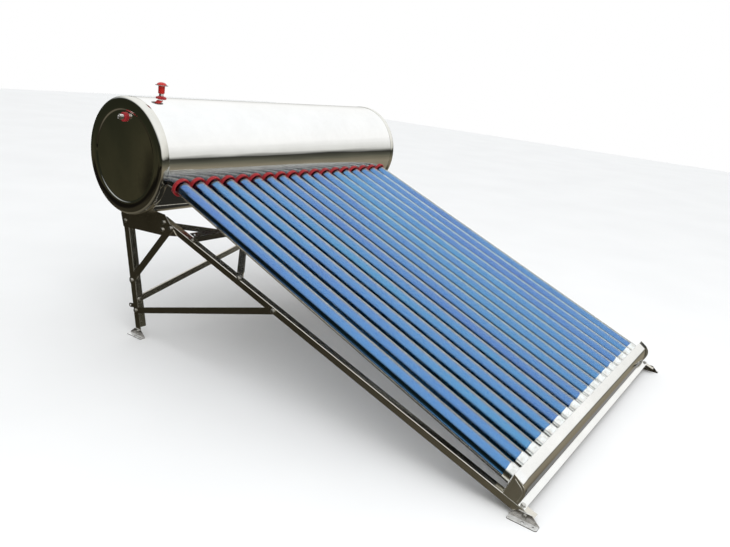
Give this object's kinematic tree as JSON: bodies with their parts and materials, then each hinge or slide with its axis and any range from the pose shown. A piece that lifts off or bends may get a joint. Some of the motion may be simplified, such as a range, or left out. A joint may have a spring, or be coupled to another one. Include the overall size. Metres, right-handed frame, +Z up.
{
  "type": "thermosiphon solar water heater",
  "caption": "Solar water heater: horizontal insulated tank above a sloping row of glass vacuum tubes that end in a tail tray, on a braced sheet-metal stand with pivoting feet.",
  "frame": {"origin": "on the ground plane under the middle of the whole heater", "axes": "+X along the tank to the right end, -Y towards the front (the low end of the tubes), +Z up"},
  "size_m": [1.624, 2.051, 1.0446],
  "materials": {
    "mirror_steel": "mirror-polished stainless sheet",
    "cap_steel": "bright stainless pressing",
    "frame_steel": "bright-rolled stainless sheet",
    "tray_steel": "polished stainless sheet",
    "tank_steel": "satin stainless sheet",
    "pipe_steel": "turned stainless",
    "bolt_steel": "plain stainless",
    "foam": "rigid polyurethane foam",
    "red_rubber": "red silicone rubber",
    "white_rubber": "white silicone rubber",
    "outer_glass": "clear borosilicate glass",
    "absorber_glass": "blue selective coating on glass",
    "getter": "bright getter film and clip",
    "white_plastic": "moulded white plastic",
    "red_plastic": "glossy red moulded plastic",
    "magnesium": "cast magnesium"
  },
  "bodies": {
    "heater": {"tank_shell": "mirror_steel", "end_cap_left": "cap_steel", "end_cap_right": "cap_steel", "inner_tank": "tank_steel", "foam_insulation": "foam", "magnesium_anode": "magnesium", "vent_pipe": "pipe_steel", "vent_seal": "red_rubber", "port_pipe_left": "pipe_steel", "port_pipe_right": "pipe_steel", "port_seals": "red_rubber", "tube_seals": "white_rubber", "dust_rings": "red_rubber", "absorber_tubes": "absorber_glass", "getter_clips": "getter", "tail_cups": "white_plastic", "tail_tray": "tray_steel", "tail_tray_end_left": "frame_steel", "tail_tray_end_right": "frame_steel", "upper_cross_rail": "frame_steel", "lower_cross_rail": "tray_steel", "pivot_bolts": "bolt_steel", "frame_bolts": "bolt_steel", "rear_strap_a": "frame_steel", "rear_strap_b": "frame_steel", "rail_left": "frame_steel", "rail_right": "frame_steel", "rear_leg_left": "frame_steel", "rear_leg_right": "frame_steel", "saddle_left": "frame_steel", "saddle_right": "frame_steel", "side_tie_left": "frame_steel", "side_tie_right": "frame_steel", "side_brace_left": "frame_steel", "side_brace_right": "frame_steel", "corner_brace_left": "frame_steel", "corner_brace_right": "frame_steel", "vacuum_tube_01": "outer_glass", "vacuum_tube_02": "outer_glass", "vacuum_tube_03": "outer_glass", "vacuum_tube_04": "outer_glass", "vacuum_tube_05": "outer_glass", "vacuum_tube_06": "outer_glass", "vacuum_tube_07": "outer_glass", "vacuum_tube_08": "outer_glass", "vacuum_tube_09": "outer_glass", "vacuum_tube_10": "outer_glass", "vacuum_tube_11": "outer_glass", "vacuum_tube_12": "outer_glass", "vacuum_tube_13": "outer_glass", "vacuum_tube_14": "outer_glass", "vacuum_tube_15": "outer_glass", "vacuum_tube_16": "outer_glass", "vacuum_tube_17": "outer_glass", "vacuum_tube_18": "outer_glass"},
    "front_foot_left": {"front_foot_left": "frame_steel"},
    "front_foot_right": {"front_foot_right": "frame_steel"},
    "rear_foot_left": {"rear_foot_left": "frame_steel"},
    "rear_foot_right": {"rear_foot_right": "frame_steel"},
    "vent_cap": {"vent_cap": "red_plastic"}
  },
  "joints": [
    {"name": "vent_cap_lift", "type": "slide", "parent": "heater", "child": "vent_cap", "axis": [0, -0.0523, 0.9986], "range_m": [0, 0.03]},
    {"name": "front_foot_left_pivot", "type": "hinge", "parent": "heater", "child": "front_foot_left", "pos_m": [-0.73665, -0.9795, 0.017], "axis": [1, 0, 0], "range_deg": [-30, 30]},
    {"name": "front_foot_right_pivot", "type": "hinge", "parent": "heater", "child": "front_foot_right", "pos_m": [0.73665, -0.9795, 0.017], "axis": [1, 0, 0], "range_deg": [-30, 30]},
    {"name": "rear_foot_left_pivot", "type": "hinge", "parent": "heater", "child": "rear_foot_left", "pos_m": [-0.73665, 0.7725, 0.017], "axis": [1, 0, 0], "range_deg": [-30, 30]},
    {"name": "rear_foot_right_pivot", "type": "hinge", "parent": "heater", "child": "rear_foot_right", "pos_m": [0.73665, 0.7725, 0.017], "axis": [1, 0, 0], "range_deg": [-30, 30]}
  ]
}
